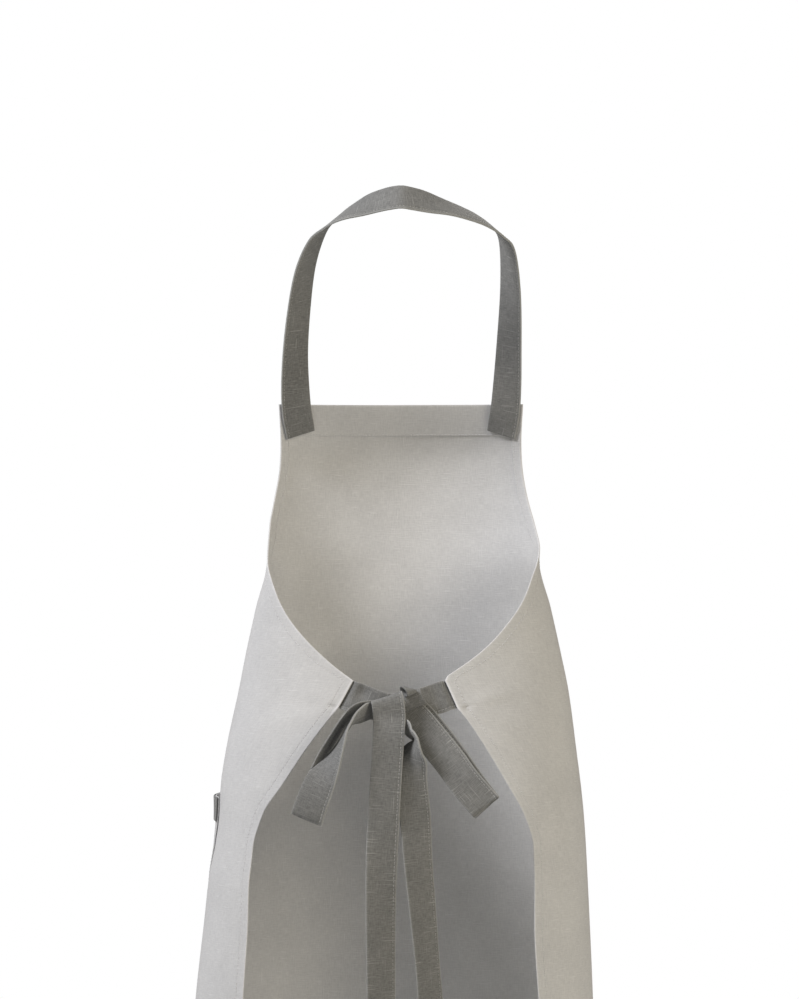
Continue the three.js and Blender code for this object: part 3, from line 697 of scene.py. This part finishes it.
# Waist ties: from under the panel's edge to behind the knot, as x, y, z, lean, tip, width
tie = {"turn": 4.8, "rise": 6.4, "inset": 2.7, "leftDent": (-36, -461, 7, 3)}
tieLeft = [
    (-45.5, -18.4, -464.4, 64, 9, 28.8), (-36, -19.5, -467.5, 68, 10, 29), (-18, -22.4, -474, 72, 5, 28),
    (12, -23, -478, 82, 0, 26)]
tieRight = [
    (41.2, -19.6, -463.6, 112, 10, 28.6), (33, -20, -466.5, 108, 12, 29), (20, -25.2, -470, 106, 6, 28),
    (-4, -26.3, -474, 100, 0, 26)]


# Two stations under the panel's edge, as wide as the tie seam and along it, then the tie's own
def tieRows(side, column, stations):
    levelPair = np.array([panel["tieTop"], panel["tieBottom"]], float)
    high, low = clothPoint(side * sideEdge(column, levelPair), levelPair)
    seam = high - low
    middle = np.array(levelPair.mean())
    rows = []
    for turn, rise in ((tie["turn"], tie["rise"]), (0, 0)):
        angle = side * (sideEdge(column, middle) - turn)
        rows.append(station(offCloth(angle, middle + rise, -tie["inset"]), seam, np.linalg.norm(seam)))
    return rows + stations


leftRows, rightRows = tieRows(-1, 1, tieLeft), tieRows(1, 2, tieRight)
tieLeftStrap = addTape("tieLeftTape", leftRows, True, 1.1, ["waist_tie_left"], dent=tie["leftDent"])
tieRightStrap = addTape("tieRightTape", rightRows, True, 2.0, ["waist_tie_right"])


# Bow: two loops and two hanging ends, as x, y, z, lean, tip, width. A tip near -90 turns the tape edge-on,
# which is where a loop or an end twists over.
loopLeft = [
    (8, -33.6, -468.4, -66, 0, 11), (-8, -33.6, -475, -66, 0, 13), (-24, -34.5, -474, -66, 48, 22),
    (-38.5, -37.6, -475.4, -52, 64, 30), (-48.2, -40, -483.5, -36, 66, 30),
    (-60.3, -43, -502.8, -33, 62, 30), (-69, -45.5, -521.8, -28, 50, 30), (-73.5, -48.5, -538, -25, 34, 30),
    (-80.4, -54.5, -557, -25, 12, 30), (-86.4, -63, -574, -24, -4, 30), (-81, -68, -557.5, -25, -13, 30),
    (-73.8, -68.5, -540, -25, -23, 30), (-67.3, -67, -528.6, -25, -46, 30),
    (-60.6, -64, -516.4, -22, -66, 30), (-55, -60.5, -504.5, -10, -78, 30),
    (-49.8, -57.5, -492.5, 40, -82, 30), (-44.8, -54.5, -484.5, 65, -66, 29),
    (-37, -50, -479.3, 80, -52, 27), (-26.5, -42.5, -476.2, 88, -16, 16), (-8, -38.6, -475, 110, 0, 12),
    (8, -38.4, -468.4, 114, 0, 11)]
loopRight = [
    (3, -34, -471, 39, 0, 20), (14.3, -34.5, -479.6, 40, 0, 28), (33, -38.5, -502.5, 40, 0, 30),
    (47.5, -44, -521.5, 40, 0, 30), (61, -51, -541, 39, 0, 30), (78.5, -62.5, -563.5, 39, 0, 30),
    (59, -59, -541.4, 39, 0, 30), (45.3, -52, -523, 39, 0, 30), (30.6, -45, -504.7, 39, 0, 30),
    (12, -38.5, -481.7, 40, 0, 28), (2, -36.5, -470, 42, 0, 20)]
tailFront = [
    (-5, -46.6, -476.5, 34, 0, 24), (-11.4, -47.2, -468.6, 28, 0, 28), (-13.2, -50.2, -463, 19, 0, 30),
    (-12, -52.8, -469, 5, 0, 30), (-10.8, -52.8, -482, 0, 0, 30), (-11.6, -58.5, -502, 0, 0, 29),
    (-15.1, -61.5, -557, 0, 2, 29), (-17.8, -66.5, -611, 0, 17, 30), (-18.7, -69.5, -666, 0, 26, 30),
    (-18.2, -71, -737, 0, 31, 30), (-17.5, -68, -810, 0, 26, 30), (-17, -66, -890, 0, 12, 30),
    (-17, -65, -968, 0, 0, 30)]
tailBack = [
    (-3, -45.5, -485, 70, -20, 10), (3.2, -46.8, -489.5, 75, -32, 16), (10.1, -53.5, -496.3, 45, -72, 22),
    (13.7, -57, -502.5, 5, -80, 25), (10, -55.5, -519.6, -3, -28, 30), (8.8, -53, -539.6, 0, -4, 30),
    (13, -53.5, -575, 0, 18, 30), (15.4, -57, -612, 0, 31, 30), (20.5, -61, -667, 0, 36, 30),
    (26.5, -62, -738, 0, 42, 30), (32, -61, -840, 0, 30, 30), (38, -60, -990, 0, 12, 30)]
loopLeftStrap = addTape("loopLeftTape", loopLeft, False, 0.7, ["bow_loop_left"])
loopRightStrap = addTape("loopRightTape", loopRight, False, 2.6, ["bow_loop_right"])
tailFrontStrap = addTape("tailFrontTape", tailFront, False, 0.0, ["tie_tail_front"])
tailBackStrap = addTape("tailBackTape", tailBack, False, 1.6, ["tie_tail_back"])


# Knot: a band pulled round the bow's middle, a squared ring round an axis that tilts up to the right,
# and the ear of tape that stands rolled on top of it
knot = {"place": (7.7, -36, -468.4), "width": 28, "depth": 13, "height": 13.2, "tilt": 24,
        "squareness": 0.55, "half": 0.9, "edgeRadius": 0.95, "sides": 96, "columns": 13,
        "flat": (0.03, 0.05)}
ear = {"mouth": (2.2, -47, -458.5), "mouthUp": (-2.2, 0, 4.6), "mouthOut": (2.5, -4, 0),
       "tip": (14.2, -43.8, -457.8), "tipShare": 0.16, "half": 0.7, "edgeRadius": 0.9,
       "sides": 48, "columns": 9, "uvRadius": 5, "flat": (0.018, 0.0125)}


# Even angles once round, without the last that meets the first
def onceRound(count):
    return np.linspace(0, 2 * np.pi, count + 1)[:-1]


# A band that closes on itself: half its thickness either way along normals that run on across the join
def addBand(name, sheet, place, length, size, uv):
    normal = gridNormals(np.concatenate([sheet[-1:], sheet, sheet[:1]]))[1:-1]
    fromEdge = np.minimum(place, length - place)
    thick = (size["half"] * roundedEdge(fromEdge, size["edgeRadius"]))[None, :, None]
    outer, inner = sheet + normal * thick, sheet - normal * thick
    return addSheet(name, outer, inner, uv, darkCotton, ring=True)


# Ring of the given width: each way round is a power of the cosine or sine, which squares the circle
def addKnot():
    def power(value):
        return np.sign(value) * abs(value) ** knot["squareness"]

    turn = onceRound(knot["sides"])
    place = placesAlong(knot["width"], knot["columns"])
    x = place - knot["width"] / 2
    deep, high = power(np.cos(turn)) * knot["depth"] / 2, power(np.sin(turn)) * knot["height"] / 2
    ring = np.stack([0 * turn, deep, high], -1)
    sheet = ring[:, None] + np.stack([x, 0 * x, 0 * x], -1)[None]
    tilt = math.radians(knot["tilt"])
    turned = sheet.copy()
    turned[..., 0] = sheet[..., 0] * math.cos(tilt) - sheet[..., 2] * math.sin(tilt)
    turned[..., 2] = sheet[..., 0] * math.sin(tilt) + sheet[..., 2] * math.cos(tilt)
    uv = np.stack(np.meshgrid(place, runAlong(np.vstack([ring, ring[:1]]))), -1)
    return addBand("knotTape", turned + np.array(knot["place"]), place, knot["width"], knot, uv)


# Ear: a cone of tape from a slanting oval mouth to a small end, each ring between them a blend of the two
def addEar():
    mouth, tip = np.array(ear["mouth"]), np.array(ear["tip"])
    length = np.linalg.norm(tip - mouth)
    place = placesAlong(length, ear["columns"])
    share = place / length
    turn = onceRound(ear["sides"])
    up, out = np.array(ear["mouthUp"]), np.array(ear["mouthOut"])
    oval = np.cos(turn)[:, None] * up + np.sin(turn)[:, None] * out
    size = 1 + (ear["tipShare"] - 1) * share
    sheet = mouth + (tip - mouth) * share[None, :, None] + oval[:, None] * size[None, :, None]
    uv = np.stack(np.meshgrid(place, ear["uvRadius"] * np.r_[turn, 2 * np.pi]), -1)
    return addBand("knotEarTape", sheet, place, length, ear, uv)


knotTape = addKnot()
earTape = addEar()
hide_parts("bow_knot")
print("knot")


print("sheets")


# Studio: a pale floor below that thins out towards its rim, an even surround that the camera sees as white,
# a large soft light from the upper left, a weak warm one from the right and one for the apron's front
studio = {"floor": -1.42, "radius": 4.0, "floorSides": 96, "fadeFrom": 1.6, "fadeTo": 3.9,
          "floorColour": "#e0e0de", "floorRoughness": 0.8, "surround": 0.14, "seenSurround": 1.0}
softLights = {
    "keyLight": {"place": (-2.15, -1.0, 1.9), "aim": (0, 0, -0.5), "size": 1.3, "power": 108,
                 "colour": "#fdfcff"},
    "fillLight": {"place": (2.1, -1.9, 0.6), "aim": (0, 0, -0.6), "size": 1.6, "power": 44,
                  "colour": "#fff4df"},
    "frontLight": {"place": (0, 2.6, 1.0), "aim": (0, 0, -0.6), "size": 1.2, "power": 38,
                   "colour": "#fffdf8"}}
turn = onceRound(studio["floorSides"])
floorRing = np.stack([studio["radius"] * np.cos(turn), studio["radius"] * np.sin(turn),
                      0 * turn + studio["floor"]], -1)
floorMesh = bpy.data.meshes.new("floor")
floorMesh.from_pydata(floorRing.tolist(), [], [list(range(studio["floorSides"]))])
floor = bpy.data.objects.new("floor", floorMesh)
bpy.context.collection.objects.link(floor)
# Matt white paint: an even pale ground without gloss, clear at its rim so that no horizon shows
floorPaint, floorTree = emptyMaterial("matWhitePaint")
floorPlace = addNode(floorTree, "ShaderNodeTexCoord", {}).outputs["Object"]
floorFlat = addNode(floorTree, "ShaderNodeVectorMath", {0: floorPlace, 1: (1, 1, 0)},
                    operation="MULTIPLY").outputs[0]
floorReach = addNode(floorTree, "ShaderNodeVectorMath", {0: floorFlat}, operation="LENGTH").outputs["Value"]
floorFade = addNode(floorTree, "ShaderNodeMapRange",
                    {0: floorReach, 1: studio["fadeFrom"], 2: studio["fadeTo"]},
                    interpolation_type="SMOOTHSTEP").outputs[0]
floorMat = addNode(floorTree, "ShaderNodeBsdfPrincipled",
                   {"Base Color": linear(studio["floorColour"]),
                    "Roughness": studio["floorRoughness"]}).outputs[0]
floorGone = addNode(floorTree, "ShaderNodeBsdfTransparent", {}).outputs[0]
floorMix = addNode(floorTree, "ShaderNodeMixShader", {0: floorFade, 1: floorMat, 2: floorGone}).outputs[0]
addNode(floorTree, "ShaderNodeOutputMaterial", {"Surface": floorMix})
floorMesh.materials.append(floorPaint)

world = bpy.data.worlds.new("studio")
bpy.context.scene.world = world
world.use_nodes = True
worldTree = world.node_tree
worldTree.nodes.clear()
seen = addNode(worldTree, "ShaderNodeLightPath", {}).outputs["Is Camera Ray"]
strengths = {0: seen, 1: 0.0, 2: 1.0, 3: studio["surround"], 4: studio["seenSurround"]}
strength = addNode(worldTree, "ShaderNodeMapRange", strengths).outputs[0]
surround = addNode(worldTree, "ShaderNodeBackground", {"Color": (1, 1, 1, 1), "Strength": strength})
addNode(worldTree, "ShaderNodeOutputWorld", {"Surface": surround.outputs[0]})


# A disk light turned to its aim: tilted from straight down by the aim's slope, then round to its heading
def addSoftLight(name, place, aim, size, power, colour):
    data = bpy.data.lights.new(name, "AREA")
    data.shape = "DISK"
    data.size = size
    data.energy = power
    data.color = linear(colour)[:3]
    light = bpy.data.objects.new(name, data)
    light.location = place
    toward = np.array(aim, float) - np.array(place, float)
    flat = math.hypot(toward[0], toward[1])
    light.rotation_euler = (math.atan2(flat, -toward[2]), 0, math.atan2(-toward[0], toward[1]))
    bpy.context.collection.objects.link(light)


for name, settings in softLights.items():
    addSoftLight(name, **settings)
bpy.context.scene.view_settings.view_transform = "Standard"
print("studio set")
